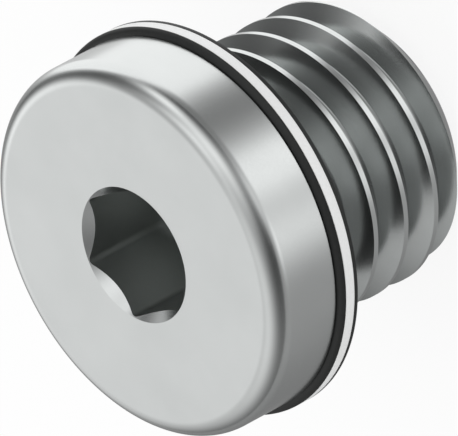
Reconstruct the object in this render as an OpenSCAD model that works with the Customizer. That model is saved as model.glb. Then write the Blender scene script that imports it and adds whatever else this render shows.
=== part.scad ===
// Screw-in blanking plug with a hexagon socket and a captive sealing ring.
// The plug stands on the flat end of its thread with the head up, and z = 0 is that flat end.

/* [Head] */
// Diameter of the round head
head_d = 9.45; // [8.5:0.05:12]
// Height of the head, from its underside to its top face
head_h = 1.92; // [1.4:0.02:4]
// Radius of the rounded rim round the top face
head_round = 0.48; // [0.1:0.02:1]
// Chamfer on the lower rim of the head
head_break = 0.05; // [0.02:0.01:0.2]

/* [Hexagon socket] */
// Size of the key, across the flats of the hexagon
key_size = 3; // [2:0.5:4]
// Depth of the flats below the top face
socket_depth = 2.5; // [1.5:0.1:3.5]
// Radius that the broach leaves in the corners
socket_round = 0.25; // [0.05:0.05:0.4]
// How far the rim of the 90 degree countersink lies outside the corners
mouth_margin = 0.02; // [0.005:0.005:0.2]
// How far the pilot hole under the hexagon stays inside its flats
pilot_step = 0.05; // [0.02:0.01:0.3]
// Point angle of the drill that made the pilot hole
drill_angle = 120; // [90:2:140]
// Angle of the first corner, seen from above and counted from the X axis
socket_turn = 18; // [0:1:59]

/* [Thread] */
// Outer diameter of the thread
thread_d = 7; // [6:0.1:8]
// Distance from one turn to the next
pitch = 1; // [0.5:0.25:1.25]
// Width of the flat crest that is left between two grooves
crest_flat = 0.14; // [0.06:0.01:0.2]
// Angle between the two flanks of the groove
flank_angle = 60; // [50:1:65]
// Height of the chamfer at the end of the thread, at 45 degrees
end_chamfer = 0.63; // [0.3:0.01:1.2]
// Angle at which the middle of the groove crosses the flat end
thread_start = 70; // [0:5:355]

/* [Shank] */
// Length of the shank, from the underside of the head to the flat end
shank_l = 5.9; // [4.6:0.1:12]
// Bare length of neck between the sealing ring and the ramp up to the thread
neck_free = 0.08; // [0.05:0.01:1]
// How far the neck lies below the root of the thread
neck_relief = 0.19; // [0.05:0.01:0.3]
// Radius where the neck meets the head
neck_round = 0.2; // [0.05:0.05:0.4]

/* [Sealing ring] */
// How far the rim of the ring stands out past the head
ring_proud = 0.175; // [0:0.005:0.5]
// Gap all round between the thread and the bore of the ring
ring_clear = 0.1; // [0.05:0.01:0.2]
// Thickness of the metal core
core_t = 0.28; // [0.1:0.01:0.6]
// Thickness of the rubber between the head and the core
head_rubber_t = 0.17; // [0.08:0.01:0.4]
// Thickness of the rubber that meets the port
port_rubber_t = 0.12; // [0.08:0.01:0.4]
// How far the upper rubber reaches in past the core, which keeps the ring on the neck
lip_l = 0.3; // [0.15:0.05:0.5]
// Radius of the outer rubber edges
rubber_round = 0.04; // [0.01:0.01:0.07]

/* [Hidden] */
$fn = 96;
eps = 0.1;

// Levels above the flat end
under_head = shank_l;
head_top = under_head + head_h;
ring_t = head_rubber_t + core_t + port_rubber_t;
neck_end = under_head - ring_t - neck_free;

// Radii of the head and of the ring
head_r = head_d / 2;
ring_r = head_r + ring_proud;
bore_r = thread_d / 2 + ring_clear;

// Section of the thread groove: straight flanks and a round root whose radius follows the pitch
thread_r = thread_d / 2;
half_flank = flank_angle / 2;
half_open = (pitch - crest_flat) / 2;
root_round = 0.144 * pitch;
root_centre_r = thread_r - half_open / tan(half_flank) + root_round / sin(half_flank);
root_r = root_centre_r - root_round;
neck_r = root_r - neck_relief;
groove_over = 0.05 * pitch;

// The groove starts below the flat end and runs out over the ramp, clear of the head
steps = 48;
first_z = pitch * (thread_start / 360 - 2);
groove_over_z = half_open + groove_over * tan(half_flank);
last_z = min(neck_end, under_head - groove_over_z);
sections = floor(steps * (last_z - first_z) / pitch);

// Hexagon and its countersunk mouth
flat_r = key_size / 2;
corner_r = (flat_r - socket_round) / cos(30) + socket_round;
corner_steps = 4;
mouth_r = corner_r + mouth_margin;
pilot_r = flat_r - pilot_step;

function polar(r, angle) = [r * cos(angle), r * sin(angle)];

// One section of the groove as [radius, height from its middle] points
function groove_section() =
    let (
        over_r = thread_r + groove_over,
        bend = 90 - half_flank
    )
    [
        [over_r, -groove_over_z],
        for (k = [-2:2]) [root_centre_r - root_round * cos(k * bend / 2), root_round * sin(k * bend / 2)],
        [over_r, groove_over_z]
    ];

// The groove of a right-hand thread, one section every few degrees
module thread_groove() {
    section = groove_section();
    n = len(section);
    last = sections;
    points = [
        for (i = [0:last], p = section)
            concat(polar(p[0], 360 * i / steps), first_z + pitch * i / steps + p[1])
    ];
    sides = [
        for (i = [0:last - 1], k = [0:n - 1])
            let (a = i * n + k, b = i * n + (k + 1) % n)
            each [[a, a + n, b], [b, a + n, b + n]]
    ];
    first_cap = [for (k = [1:n - 2]) [0, k, k + 1]];
    last_cap = [for (k = [1:n - 2]) [last * n, last * n + k + 1, last * n + k]];
    polyhedron(points = points, faces = concat(sides, first_cap, last_cap), convexity = 12);
}

// Half section of the head, round at the top rim and chamfered at the lower one
module head_section() {
    polygon([
        [0, under_head], [head_r - head_break, under_head], [head_r, under_head + head_break],
        [head_r, head_top - head_round], [0, head_top - head_round]
    ]);
    translate([0, head_top - head_round - eps]) square([head_r - head_round, head_round + eps]);
    translate([head_r - head_round, head_top - head_round]) circle(r = head_round);
}

// Half section of the shank: chamfered end, thread blank, ramp and neck
module shank_section() {
    polygon([
        [0, 0], [thread_r - end_chamfer, 0], [thread_r, end_chamfer],
        [thread_r, neck_end - (thread_r - neck_r)], [neck_r, neck_end],
        [neck_r, under_head + eps], [0, under_head + eps]
    ]);
    difference() {
        translate([neck_r - eps, under_head - neck_round])
            square([neck_round + eps, neck_round + head_break]);
        translate([neck_r + neck_round, under_head - neck_round]) circle(r = neck_round);
    }
}

// Hexagon with the rounded corners that a broach leaves
module hexagon() {
    centre_r = (flat_r - socket_round) / cos(30);
    polygon([
        for (corner = [0:60:300], k = [0:corner_steps])
            let (turn = corner - 30 + 60 * k / corner_steps)
            polar(centre_r, corner) + polar(socket_round, turn)
    ]);
}

// Drill that goes in before the broach; its point stays below the flats
module pilot_drill() {
    point_h = pilot_r / tan(drill_angle / 2);
    rotate_extrude() polygon([
        [0, -socket_depth - point_h], [pilot_r, -socket_depth],
        [pilot_r, -socket_depth / 2], [0, -socket_depth / 2]
    ]);
}

// Everything that the key socket takes out of the head
module socket() {
    translate([0, 0, head_top]) rotate([0, 0, socket_turn]) {
        translate([0, 0, -socket_depth]) linear_extrude(socket_depth + eps) hexagon();
        pilot_drill();
        translate([0, 0, -mouth_r + pilot_r - eps])
            cylinder(h = mouth_r - pilot_r + 2 * eps, r1 = pilot_r - eps, r2 = mouth_r + eps);
    }
}

// Flat ring between two radii, with rounded outer edges below or above
module ring(inner_r, low, high, round_low = 0, round_high = 0) {
    rotate_extrude() {
        translate([inner_r, low + round_low])
            square([ring_r - inner_r, high - low - round_low - round_high]);
        if (round_low > 0) {
            translate([inner_r, low]) square([ring_r - round_low - inner_r, round_low + (high - low) / 4]);
            translate([ring_r - round_low, low + round_low]) circle(r = round_low);
        }
        if (round_high > 0) {
            translate([inner_r, high - round_high - (high - low) / 4])
                square([ring_r - round_high - inner_r, round_high + (high - low) / 4]);
            translate([ring_r - round_high, high - round_high]) circle(r = round_high);
        }
    }
}

// The turned plug: head, neck and threaded shank in one piece
module plug_body() {
    color("silver") difference() {
        rotate_extrude() {
            head_section();
            shank_section();
        }
        socket();
        thread_groove();
    }
}

// Metal core of the sealing ring
module seal_core() {
    color("gainsboro") ring(bore_r, under_head - head_rubber_t - core_t, under_head - head_rubber_t);
}

// Rubber between the head and the core, with the lip that keeps the ring on the neck
module seal_rubber_head() {
    color("#1c1c1e")
        ring(bore_r - lip_l, under_head - head_rubber_t, under_head, round_high = rubber_round);
}

// Rubber that is pressed on the face round the port
module seal_rubber_port() {
    color("#1c1c1e")
        ring(bore_r, under_head - ring_t, under_head - ring_t + port_rubber_t, round_low = rubber_round);
}

plug_body();
seal_core();
seal_rubber_head();
seal_rubber_port();
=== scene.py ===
# Screw-in blanking plug with its captive sealing ring, standing on the end of its thread.
# Sizes are in millimetres here and become metres where a mesh is made.
import math

import bmesh
import bpy
from mathutils import Matrix, Vector


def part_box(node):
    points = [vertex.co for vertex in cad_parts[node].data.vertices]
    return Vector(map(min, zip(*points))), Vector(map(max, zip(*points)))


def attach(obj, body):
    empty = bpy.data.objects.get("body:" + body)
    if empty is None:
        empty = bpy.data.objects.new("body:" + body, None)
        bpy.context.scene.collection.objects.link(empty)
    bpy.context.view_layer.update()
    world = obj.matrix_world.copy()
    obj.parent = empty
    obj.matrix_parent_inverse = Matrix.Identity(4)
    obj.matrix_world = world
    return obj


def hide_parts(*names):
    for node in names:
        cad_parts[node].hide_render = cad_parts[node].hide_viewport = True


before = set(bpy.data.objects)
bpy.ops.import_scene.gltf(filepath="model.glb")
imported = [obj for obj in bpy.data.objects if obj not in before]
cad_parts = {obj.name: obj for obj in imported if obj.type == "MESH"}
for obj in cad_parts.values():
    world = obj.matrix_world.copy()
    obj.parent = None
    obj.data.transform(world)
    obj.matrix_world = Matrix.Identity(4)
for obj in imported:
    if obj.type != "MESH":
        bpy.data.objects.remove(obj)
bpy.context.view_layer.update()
mm = 0.001


def level(node, end):  # height of a node's lower end, 0, or upper end, 1
    return round(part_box(node)[end].z / mm, 4)


headTop = level("plug_body", 1)
underHead = level("seal_rubber_head", 1)
coreTop = level("seal_core", 1)
coreLow = level("seal_core", 0)
ringLow = level("seal_rubber_port", 0)
ringR = round(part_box("seal_core")[1].x / mm, 4)
print("frame read: plug", headTop, "mm high, ring from", ringLow, "to", underHead)


# a profile is a list of radius and height, spun round the plug's axis

def corner(centreR, centreZ, radius, start, end, steps):  # an arc from one angle to another
    turns = [math.radians(start + (end - start) * i / steps) for i in range(steps + 1)]
    return [(centreR + radius * math.cos(t), centreZ + radius * math.sin(t)) for t in turns]


def spin(profile, segments, closed):
    # a closed profile gives a ring, an open one gets a flat cap at both ends
    bm = bmesh.new()
    rings = []
    for r, z in profile:
        rings.append([
            bm.verts.new((r * mm * math.cos(a), r * mm * math.sin(a), z * mm))
            for a in (2 * math.pi * i / segments for i in range(segments))
        ])
    pairs = list(zip(rings, rings[1:])) + ([(rings[-1], rings[0])] if closed else [])
    for low, high in pairs:
        for i in range(segments):
            j = (i + 1) % segments
            bm.faces.new((low[i], low[j], high[j], high[i]))
    if not closed:
        bm.faces.new(list(reversed(rings[0])))
        bm.faces.new(rings[-1])
    bmesh.ops.recalc_face_normals(bm, faces=bm.faces)
    return bm


def makePiece(name, bm):
    mesh = bpy.data.meshes.new(name)
    bm.to_mesh(mesh)
    bm.free()
    piece = bpy.data.objects.new(name, mesh)
    bpy.context.scene.collection.objects.link(piece)
    return piece


def smoothen(mesh, sharpFrom):  # edges that turn by more degrees stay sharp
    mesh.polygons.foreach_set("use_smooth", [True] * len(mesh.polygons))
    mesh.set_sharp_from_angle(angle=math.radians(sharpFrom))


# nodes: settings come before values, because they choose which sockets there are

def addNode(tree, kind, place, values=None, **settings):
    node = tree.nodes.new(kind)
    node.location = place
    for key, value in settings.items():
        setattr(node, key, value)
    for key, value in (values or {}).items():
        node.inputs[key].default_value = value
    return node


def wire(tree, source, target, output=0, socket=0):
    tree.links.new(source.outputs[output], target.inputs[socket])


def feed(tree, node, socket, value):  # a number is set, a node or a (node, output) is wired
    if isinstance(value, (int, float)):
        node.inputs[socket].default_value = value
    elif isinstance(value, tuple):
        wire(tree, value[0], node, value[1], socket)
    else:
        wire(tree, value, node, 0, socket)


def addMath(tree, operation, place, *terms):
    node = addNode(tree, "ShaderNodeMath", place, operation=operation)
    for i, term in enumerate(terms):
        feed(tree, node, i, term)
    return node


def emptyTree(holder):  # of a material or a world
    holder.use_nodes = True
    holder.node_tree.nodes.clear()
    return holder.node_tree


def newFinish(name):
    material = bpy.data.materials.new(name)
    tree = emptyTree(material)
    out = addNode(tree, "ShaderNodeOutputMaterial", (900, 0))
    shader = addNode(tree, "ShaderNodeBsdfPrincipled", (600, 0))
    wire(tree, shader, out)
    coords = addNode(tree, "ShaderNodeTexCoord", (-1100, 0))
    inMm = addNode(tree, "ShaderNodeMapping", (-900, 0), {"Scale": (1 / mm,) * 3})
    wire(tree, coords, inMm, "Object")
    return material, tree, shader, inMm


def addNoise(tree, inMm, place, perMm, detail, roughness):
    values = {"Scale": perMm, "Detail": detail, "Roughness": roughness}
    noise = addNode(tree, "ShaderNodeTexNoise", place, values)
    wire(tree, inMm, noise)
    return noise


def spread(tree, noise, low, high, place):  # nearly all of a noise lies between 0.3 and 0.7
    values = {"From Min": 0.3, "From Max": 0.7, "To Min": low, "To Max": high}
    node = addNode(tree, "ShaderNodeMapRange", place, values)
    wire(tree, noise, node)
    return node


def finishSurface(tree, shader, looks, patches, grain, relief):
    # the patches mix the two colours, the grain sets the gloss and the relief the fine marks
    colours = {"A": looks["darker"], "B": looks["lighter"]}
    mix = addNode(tree, "ShaderNodeMix", (200, 250), colours, data_type="RGBA")
    wire(tree, spread(tree, patches, 0, 1, (-100, 300)), mix, 0, "Factor")
    wire(tree, mix, shader, "Result", "Base Color")
    gloss = spread(tree, grain, looks["roughLow"], looks["roughHigh"], (200, 0))
    wire(tree, gloss, shader, 0, "Roughness")
    marks = {"Strength": looks["marks"], "Distance": looks["marksDeep"] * mm}
    bump = addNode(tree, "ShaderNodeBump", (300, -250), marks)
    wire(tree, relief, bump, 0, "Height")
    wire(tree, bump, shader, 0, "Normal")


# the turned skin is bright, the thread is cut through it and the broached socket is dull; the
# thread's and the socket's darker colours are painted shade for their hollows
plugSteel = {
    "turned": {
        "darker": (0.705, 0.725, 0.72, 1), "lighter": (0.745, 0.765, 0.76, 1),
        "roughLow": 0.17, "roughHigh": 0.23,
    },
    # the cut flanks and roots get a darker copy of the turned steel: painted shade for the deep
    # grooves
    "thread": {
        "darker": (0.505, 0.525, 0.52, 1), "lighter": (0.56, 0.58, 0.575, 1),
        "roughLow": 0.17, "roughHigh": 0.22,
    },
    # the socket gets a darker copy of the turned steel: painted shade for the hollow; its higher
    # roughness is the broached finish
    "socket": {
        "darker": (0.44, 0.46, 0.45, 1), "lighter": (0.485, 0.505, 0.495, 1),
        "roughLow": 0.38, "roughHigh": 0.46,
    },
    "cloudsPerMm": 0.5, "grainPerMm": 30, "turningPerMm": 9,
    "turningShare": 0.5,  # of the turning rings in the marks, beside the grain
    "marks": 0.05, "marksDeep": 0.004,
}


def makePlugSteel(finish):
    looks = dict(plugSteel, **plugSteel[finish])
    material, tree, shader, inMm = newFinish("plug steel " + finish)
    shader.inputs["Metallic"].default_value = 1.0
    clouds = addNoise(tree, inMm, (-600, 250), looks["cloudsPerMm"], 3, 0.55)
    grain = addNoise(tree, inMm, (-600, -50), looks["grainPerMm"], 2, 0.5)
    turning = addNode(
        tree, "ShaderNodeTexWave", (-600, -350),
        {"Scale": looks["turningPerMm"], "Distortion": 0.6, "Detail": 1},
        wave_type="RINGS", rings_direction="Z",
    )
    wire(tree, inMm, turning)
    relief = addMath(tree, "MULTIPLY_ADD", (0, -250), turning, looks["turningShare"], grain)
    finishSurface(tree, shader, looks, clouds, grain, relief)
    return material


coreMetal = {
    "darker": (0.87, 0.875, 0.87, 1), "lighter": (0.93, 0.935, 0.93, 1),
    "metallic": 0.25, "specular": 0.5, "roughLow": 0.5, "roughHigh": 0.62,
    "grainPerMm": 22, "grainDetail": 3, "marks": 0.15, "marksDeep": 0.005,
}

sealRubber = {
    "darker": (0.012, 0.013, 0.0125, 1), "lighter": (0.019, 0.0205, 0.02, 1),
    "metallic": 0.0, "specular": 0.4, "roughLow": 0.38, "roughHigh": 0.52,
    "grainPerMm": 16, "grainDetail": 4, "marks": 0.25, "marksDeep": 0.006,
}


def makeGrained(name, looks):  # one grain for colour, gloss and marks
    material, tree, shader, inMm = newFinish(name)
    shader.inputs["Metallic"].default_value = looks["metallic"]
    shader.inputs["Specular IOR Level"].default_value = looks["specular"]
    grain = addNoise(tree, inMm, (-600, 100), looks["grainPerMm"], looks["grainDetail"], 0.6)
    finishSurface(tree, shader, looks, grain, grain, grain)
    return material


turnedSteel = makePlugSteel("turned")
shadedThreadSteel = makePlugSteel("thread")
shadedSocketSteel = makePlugSteel("socket")
ringMetal = makeGrained("stamped ring metal", coreMetal)
rubber = makeGrained("black seal rubber", sealRubber)
print("materials made")


# the plug body is a turned blank, from which a node tree cuts the thread and the socket
plugBlank = {
    "headR": 4.725, "headRound": 0.48, "headBreak": 0.012,
    "threadR": 3.5, "endChamfer": 0.63,
    "neckR": 2.709, "neckEnd": 5.25, "neckRound": 0.2,
    "support": 0.03,  # a loop beside each end of the rim's round keeps the flats flat
    "rimSteps": 20, "neckSteps": 6, "segments": 256, "sharpFrom": 28,
}


def plugProfile():
    p = plugBlank
    threadR, neckR, neckRound, headR = p["threadR"], p["neckR"], p["neckRound"], p["headR"]
    rimR, rimZ = headR - p["headRound"], headTop - p["headRound"]
    points = [(threadR - p["endChamfer"], 0), (threadR, p["endChamfer"])]
    points += [(threadR, p["neckEnd"] - (threadR - neckR)), (neckR, p["neckEnd"])]
    points += corner(neckR + neckRound, underHead - neckRound, neckRound, 180, 90, p["neckSteps"])
    points += [(headR - p["headBreak"], underHead), (headR, underHead + p["headBreak"])]
    points += [(headR, rimZ - p["support"])]
    points += corner(rimR, rimZ, p["headRound"], 0, 90, p["rimSteps"])
    points += [(rimR - p["support"], headTop)]
    return points


cuts = {
    "Thread radius": 3.5, "Pitch": 1.0, "Crest flat": 0.14, "Root round": 0.144,
    "Groove start": -1.8056, "Turns": 7.04, "Steps per turn": 240,
    "Key size": 3.0, "Corner round": 0.2, "Socket depth": 2.5, "Socket turn": math.radians(18),
    "Mouth radius": 1.72, "Pilot radius": 1.45, "Point angle": math.radians(120),
    "Head top": headTop,
}
cutters = {
    "over": 0.05,  # how far a cutter stands out past the face it cuts
    "sinkLowR": 1.2,  # the countersink's cutter ends inside the hexagon
    "rootSteps": 10, "cornerSteps": 8, "sinkSides": 256, "drillSides": 128,
}


def cutTree():
    tree = bpy.data.node_groups.new("thread and socket cuts", "GeometryNodeTree")
    tree.interface.new_socket(name="Blank", in_out="INPUT", socket_type="NodeSocketGeometry")
    for name, value in cuts.items():
        kind = "NodeSocketInt" if name.startswith("Steps") else "NodeSocketFloat"
        entry = tree.interface.new_socket(name=name, in_out="INPUT", socket_type=kind)
        entry.default_value = value
    tree.interface.new_socket(name="Body", in_out="OUTPUT", socket_type="NodeSocketGeometry")
    sizes = addNode(tree, "NodeGroupInput", (-1800, 0))
    end = addNode(tree, "NodeGroupOutput", (1800, 0))

    def named(value):  # a name stands for the tree's input of that name
        return (sizes, value) if isinstance(value, str) else value

    def calc(operation, place, *terms):
        return addMath(tree, operation, place, *(named(term) for term in terms))

    def build(kind, place, inputs, values=None, **settings):
        node = addNode(tree, kind, place, values, **settings)
        for socket, value in inputs.items():
            feed(tree, node, socket, named(value))
        return node

    def shifted(shape, place, socket, value):  # along the axis, or turned round it
        vector = build("ShaderNodeCombineXYZ", (place[0] - 200, place[1] - 250), {"Z": value})
        return build("GeometryNodeTransform", place, {"Geometry": shape, socket: vector})

    def filleted(curve, place, radius, steps):
        return build("GeometryNodeFilletCurve", place, {"Curve": curve, "Radius": radius},
                     {"Count": steps, "Limit Radius": False}, mode="POLY")

    def swept(path, section, place):
        return build("GeometryNodeCurveToMesh", place, {"Curve": path, "Profile Curve": section},
                     {"Fill Caps": True})

    def cone(place, sides, lowR, highR, deep):
        return build("GeometryNodeMeshCone", place, {"Radius Top": highR, "Depth": deep},
                     {"Vertices": sides, "Radius Bottom": lowR}, fill_type="NGON")

    def marked(shape, number, place):  # the cut faces keep the number of their tool
        return build("GeometryNodeStoreNamedAttribute", place, {"Geometry": shape},
                     {"Name": "tool", "Value": number}, data_type="INT", domain="FACE")

    # groove: a 60 degree triangle with a round root, swept along the helix
    over = cutters["over"]
    grooveWide = calc("SUBTRACT", (-1500, 900), "Pitch", "Crest flat")
    side = calc("ADD", (-1300, 900), grooveWide, 2 * over * math.tan(math.radians(30)))
    triangleR = calc("DIVIDE", (-1100, 900), side, math.sqrt(3))
    triangle = build("GeometryNodeCurvePrimitiveCircle", (-900, 950), {"Radius": triangleR},
                     {"Resolution": 3})
    index = addNode(tree, "GeometryNodeInputIndex", (-1100, 700))
    isRoot = calc("LESS_THAN", (-900, 700), index, 0.5)  # the first corner is the root
    rootRound = calc("MULTIPLY", (-700, 700), isRoot, "Root round")
    section = filleted(triangle, (-500, 900), rootRound, cutters["rootSteps"])
    inward = build("GeometryNodeTransform", (-300, 900), {"Geometry": section},
                   {"Rotation": (0, 0, math.pi)})
    half = calc("MULTIPLY", (-900, 450), triangleR, 0.5)
    outer = calc("ADD", (-900, 300), "Thread radius", over)
    helixR = calc("SUBTRACT", (-700, 400), outer, half)
    rise = calc("MULTIPLY", (-900, 150), "Pitch", "Turns")
    path = {
        "Resolution": "Steps per turn", "Rotations": "Turns",
        "Start Radius": helixR, "End Radius": helixR, "Height": rise,
    }
    helix = build("GeometryNodeCurveSpiral", (-500, 450), path, {"Reverse": True})
    upright = build("GeometryNodeSetCurveNormal", (-300, 450), {"Curve": helix}, mode="Z_UP")
    thread = swept(upright, inward, (-100, 700))
    groove = shifted(thread, (100, 700), "Translation", "Groove start")

    # hexagon with the round corners of a broach
    hexagonR = calc("DIVIDE", (-1100, -50), "Key size", 2 * math.cos(math.radians(30)))
    hexagon = build("GeometryNodeCurvePrimitiveCircle", (-900, -50), {"Radius": hexagonR},
                    {"Resolution": 6})
    broached = filleted(hexagon, (-700, -50), "Corner round", cutters["cornerSteps"])
    floorZ = calc("SUBTRACT", (-900, -250), "Head top", "Socket depth")
    aboveZ = calc("ADD", (-900, -400), "Head top", 2 * over)
    line = build("GeometryNodeCurvePrimitiveLine", (-500, -250), {
        "Start": build("ShaderNodeCombineXYZ", (-700, -250), {"Z": floorZ}),
        "End": build("ShaderNodeCombineXYZ", (-700, -400), {"Z": aboveZ}),
    })
    prism = swept(line, broached, (-300, -100))
    socket = shifted(prism, (-100, -100), "Rotation", "Socket turn")

    # 90 degree countersink at the mouth
    lowR = cutters["sinkLowR"]
    mouthR = calc("ADD", (-900, -600), "Mouth radius", over)
    sinkDeep = calc("SUBTRACT", (-700, -600), mouthR, lowR)
    sinkTop = calc("ADD", (-900, -750), "Head top", over)
    sinkLow = calc("SUBTRACT", (-700, -750), sinkTop, sinkDeep)
    sinkCone = cone((-500, -600), cutters["sinkSides"], lowR, mouthR, sinkDeep)
    sink = shifted(sinkCone, (-300, -600), "Translation", sinkLow)

    # point that the drill leaves below the hexagon
    halfPoint = calc("MULTIPLY", (-1300, -1100), "Point angle", 0.5)
    steep = calc("TANGENT", (-1100, -1100), halfPoint)
    pointDeep = calc("DIVIDE", (-900, -1100), "Pilot radius", steep)
    pointLow = calc("SUBTRACT", (-700, -1100), floorZ, pointDeep)
    drill = cone((-500, -1100), cutters["drillSides"], 0.0, "Pilot radius", pointDeep)
    point = shifted(drill, (-300, -1100), "Translation", pointLow)

    threadTool, keyTool, sinkTool = 1, 2, 3
    cut = addNode(tree, "GeometryNodeMeshBoolean", (500, 0), operation="DIFFERENCE", solver="EXACT")
    wire(tree, marked("Blank", 0, (200, 200)), cut, 0, "Mesh 1")
    for cutter in (
        marked(groove, threadTool, (300, 700)), marked(socket, keyTool, (100, -100)),
        marked(sink, sinkTool, (0, -600)), marked(point, keyTool, (0, -1100)),
    ):
        wire(tree, cutter, cut, 0, "Mesh 2")
    inMetres = build("GeometryNodeTransform", (700, 0), {"Geometry": cut}, {"Scale": (mm,) * 3})
    last = build("GeometryNodeRealizeInstances", (900, 0), {"Geometry": inMetres})

    # everything gets the turned skin, then the thread and the socket get their own darker steel,
    # which is painted shade for their hollows
    tool = addNode(tree, "GeometryNodeInputNamedAttribute", (900, -300), {"Name": "tool"},
                   data_type="INT")
    finishes = ((None, turnedSteel), (threadTool, shadedThreadSteel), (keyTool, shadedSocketSteel))
    for i, (number, material) in enumerate(finishes):
        inputs = {"Geometry": last}
        if number:
            inputs["Selection"] = calc("COMPARE", (1100 + 200 * i, -300), tool, number, 0.1)
        last = build("GeometryNodeSetMaterial", (1100 + 200 * i, 0), inputs, {"Material": material})
    wire(tree, last, end)
    return tree


def makePlugBody():
    bm = spin(plugProfile(), plugBlank["segments"], False)
    bmesh.ops.scale(bm, vec=(1 / mm,) * 3, verts=bm.verts)  # the tree works in millimetres
    piece = makePiece("plug_turned", bm)
    tree = cutTree()
    modifier = piece.modifiers.new("cuts", "NODES")
    modifier.node_group = tree
    for entry in tree.interface.items_tree:
        if entry.in_out == "INPUT" and entry.name in cuts:
            modifier[entry.identifier] = cuts[entry.name]
    piece.update_tag()
    evaluated = piece.evaluated_get(bpy.context.evaluated_depsgraph_get())
    shaped = bpy.data.meshes.new_from_object(evaluated)
    piece.modifiers.clear()
    piece.data = shaped
    shaped.name = "plug_turned"
    smoothen(shaped, plugBlank["sharpFrom"])
    return piece


plug = makePlugBody()
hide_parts("plug_body")
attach(plug, "root")
print("plug body cut:", len(plug.data.polygons), "faces")


# the sealing ring is two rubbers with the metal core between them
sealRing = {
    "boreR": 3.6, "lipR": 3.3,
    "coreEdge": 0.02, "rubberEdge": 0.04, "jointEdge": 0.015, "edgeSteps": 5,
    "bevel": 0.165, "bulge": 0.12, "bevelFoot": 0.005, "bevelSteps": 8,
    "slotHigh": 0.035, "slotDeep": 0.1, "segments": 256, "sharpFrom": 30,
}


def ringProfile(innerR, low, high, lowEdge, highEdge=None):
    # counter-clockwise from the inner low corner
    p = sealRing
    points = [(innerR, low)]
    points += corner(ringR - lowEdge, low + lowEdge, lowEdge, -90, 0, p["edgeSteps"])
    if highEdge:
        points += corner(ringR - highEdge, high - highEdge, highEdge, 0, 90, p["edgeSteps"])
    else:  # a bulged bevel slopes in from the rim to a thin slot under the head
        foot, slotLow = low + lowEdge + p["bevelFoot"], high - p["slotHigh"]
        for i in range(p["bevelSteps"] + 1):
            t = i / p["bevelSteps"]
            out = p["bulge"] * math.sin(math.pi * t)
            points.append((ringR - p["bevel"] * (t - out), foot + (slotLow - foot) * (t + out)))
        slotR = ringR - p["bevel"] - p["slotDeep"]
        points += [(slotR, slotLow), (slotR, high)]
    points.append((innerR, high))
    return points


def makeRing(name, node, material, profile):
    piece = makePiece(name, spin(profile, sealRing["segments"], True))
    smoothen(piece.data, sealRing["sharpFrom"])
    piece.data.materials.append(material)
    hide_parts(node)
    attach(piece, "root")
    return piece


def makeSealRing():
    p = sealRing
    core = ringProfile(p["boreR"], coreLow, coreTop, p["coreEdge"], p["coreEdge"])
    upper = ringProfile(p["lipR"], coreTop, underHead, p["jointEdge"])
    lower = ringProfile(p["boreR"], ringLow, coreLow, p["rubberEdge"], p["jointEdge"])
    makeRing("ring_core", "seal_core", ringMetal, core)
    makeRing("ring_rubber_upper", "seal_rubber_head", rubber, upper)
    makeRing("ring_rubber_lower", "seal_rubber_port", rubber, lower)


makeSealRing()
print("sealing ring made")


studio = {
    "floorHalf": 1.2,  # metres from the plug to the floor's sides
    "floorDrop": 0.01,  # keeps the floor clear of the thread's end
    "floorColour": (0.94, 0.94, 0.94, 1),
    "shadowShare": 0.14,  # how much of the plug's shadow shows on the white floor
    "seenInMetal": 0.2,  # how much of the white floor the metal mirrors
    "evenLight": 1.0,  # the least light on what doesn't mirror
    "boxTop": 1.13,  # the boxes together are as white as this at most
    # soft boxes round the plug: strength, degrees from -Y towards +X,
    # degrees above the floor line, and how fast the box falls off round its middle
    "softBoxes": (
        (8.5, 110, -20, 15), (1.0, 35, 50, 8), (0.8, -145, 55, 4), (0.7, 0, -5, 15),
        (0.2, -75, -25, 4), (1.0, 75, 30, 30), (0.6, 105, 70, 30), (0.85, 165, 30, 30),
        (0.6, 180, 10, 30), (1.35, 10, -40, 30), (1.0, -30, -30, 30), (1.4, 90, -40, 30),
        (0.45, 165, -37, 30),
    ),
}


def makeFloor():
    bm = bmesh.new()
    bmesh.ops.create_grid(bm, x_segments=8, y_segments=8, size=studio["floorHalf"])
    bmesh.ops.translate(bm, vec=(0, 0, -studio["floorDrop"] * mm), verts=bm.verts)
    floor = makePiece("floor", bm)
    material = bpy.data.materials.new("pale floor")
    tree = emptyTree(material)

    def blend(place, share, first, second):
        node = addNode(tree, "ShaderNodeMixShader", place)
        for i, value in enumerate((share, first, second)):
            feed(tree, node, i, value)
        return node

    out = addNode(tree, "ShaderNodeOutputMaterial", (900, 0))
    paint = addNode(tree, "ShaderNodeBsdfDiffuse", (-200, 200), {"Color": studio["floorColour"]})
    glow = addNode(tree, "ShaderNodeEmission", (-200, 0), {"Strength": 1.0})
    clear = addNode(tree, "ShaderNodeBsdfTransparent", (-200, -200))
    rays = addNode(tree, "ShaderNodeLightPath", (-800, 0))
    mirrored = addMath(tree, "MAXIMUM", (-600, -100),
                       (rays, "Is Glossy Ray"), (rays, "Is Transmission Ray"))
    white = addMath(tree, "MULTIPLY", (-400, 100),
                    (rays, "Is Camera Ray"), 1 - studio["shadowShare"])
    # the camera sees white and some of the shadow, and the metal sees through to the soft boxes
    direct = blend((100, 200), white, paint, glow)
    veil = blend((100, -100), studio["seenInMetal"], clear, glow)
    wire(tree, blend((400, 0), mirrored, direct, veil), out)
    floor.data.materials.append(material)


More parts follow.
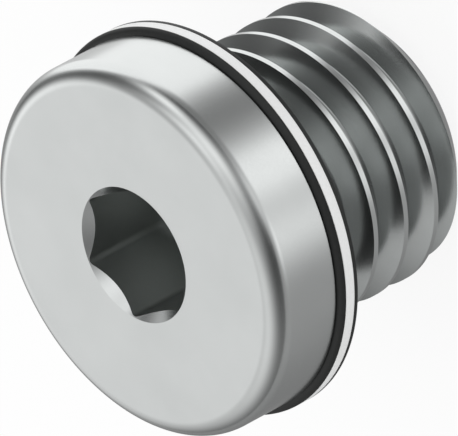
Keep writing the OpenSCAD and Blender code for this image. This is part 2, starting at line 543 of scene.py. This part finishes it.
def makeWorld():
    world = bpy.data.worlds.new("soft studio")
    bpy.context.scene.world = world
    world.cycles.sampling_method = "NONE"  # so that each kind of ray sees its own light
    tree = emptyTree(world)
    out = addNode(tree, "ShaderNodeOutputWorld", (1200, 0))
    sky = addNode(tree, "ShaderNodeBackground", (1000, 0), {"Color": (1, 1, 1, 1)})
    wire(tree, sky, out)
    coords = addNode(tree, "ShaderNodeTexCoord", (-800, 0))
    total = 0.0
    for i, (strength, around, above, fall) in enumerate(studio["softBoxes"]):
        a, e = math.radians(around), math.radians(above)
        towards = (math.sin(a) * math.cos(e), -math.cos(a) * math.cos(e), math.sin(e))
        y = 600 - 200 * i
        dot = addNode(tree, "ShaderNodeVectorMath", (-500, y), {1: towards},
                      operation="DOT_PRODUCT")
        wire(tree, coords, dot, "Generated")
        near = addMath(tree, "MULTIPLY_ADD", (-300, y), (dot, "Value"), fall, -fall)
        soft = addMath(tree, "EXPONENT", (-100, y), near)
        total = addMath(tree, "MULTIPLY_ADD", (100 + 100 * i, y), soft, strength, total)
    boxes = addMath(tree, "MINIMUM", (1000, -200), total, studio["boxTop"])
    # the metal mirrors the soft boxes, all else is lit evenly but for the boxes' whitest
    # middles, and the camera sees white
    rays = addNode(tree, "ShaderNodeLightPath", (500, 400))
    plain = addMath(tree, "MULTIPLY", (650, 200), (rays, "Is Diffuse Ray"), studio["evenLight"])
    seen = addMath(tree, "MAXIMUM", (750, 100), (rays, "Is Camera Ray"), plain)
    bright = addMath(tree, "MAXIMUM", (850, 0), seen, boxes)
    wire(tree, bright, sky, 0, "Strength")


# a long lens far away, rolled so that the standing plug seems to lie on its side
shot = {
    "elevation": 36.68, "roll": 118.14,
    "lens": 1500, "sensor": 36, "nearest": 0.02, "farthest": 10,
    "fieldMm": 10.665,  # width of the picture at the plug
    "aimMm": (-0.286, -1.412, 5.925),  # what the middle of the picture sees
}


def makeCamera():
    camera = bpy.data.cameras.new("camera")
    camera.lens = shot["lens"]
    camera.sensor_width = shot["sensor"]
    camera.clip_start, camera.clip_end = shot["nearest"], shot["farthest"]
    holder = bpy.data.objects.new("camera", camera)
    bpy.context.scene.collection.objects.link(holder)
    e, roll = math.radians(shot["elevation"]), math.radians(shot["roll"])
    back = Vector((0, -math.cos(e), math.sin(e)))
    plumb = Vector((0, math.sin(e), math.cos(e)))
    right = math.cos(roll) * Vector((1, 0, 0)) - math.sin(roll) * plumb
    up = math.sin(roll) * Vector((1, 0, 0)) + math.cos(roll) * plumb
    away = shot["fieldMm"] * mm * shot["lens"] / shot["sensor"]
    place = Vector(shot["aimMm"]) * mm + back * away
    turned = Matrix((right, up, back)).transposed().to_4x4()
    holder.matrix_world = Matrix.Translation(place) @ turned
    bpy.context.scene.camera = holder


makeFloor()
makeWorld()
makeCamera()
bpy.context.scene.view_settings.view_transform = "Standard"
print("floor, light and camera set")
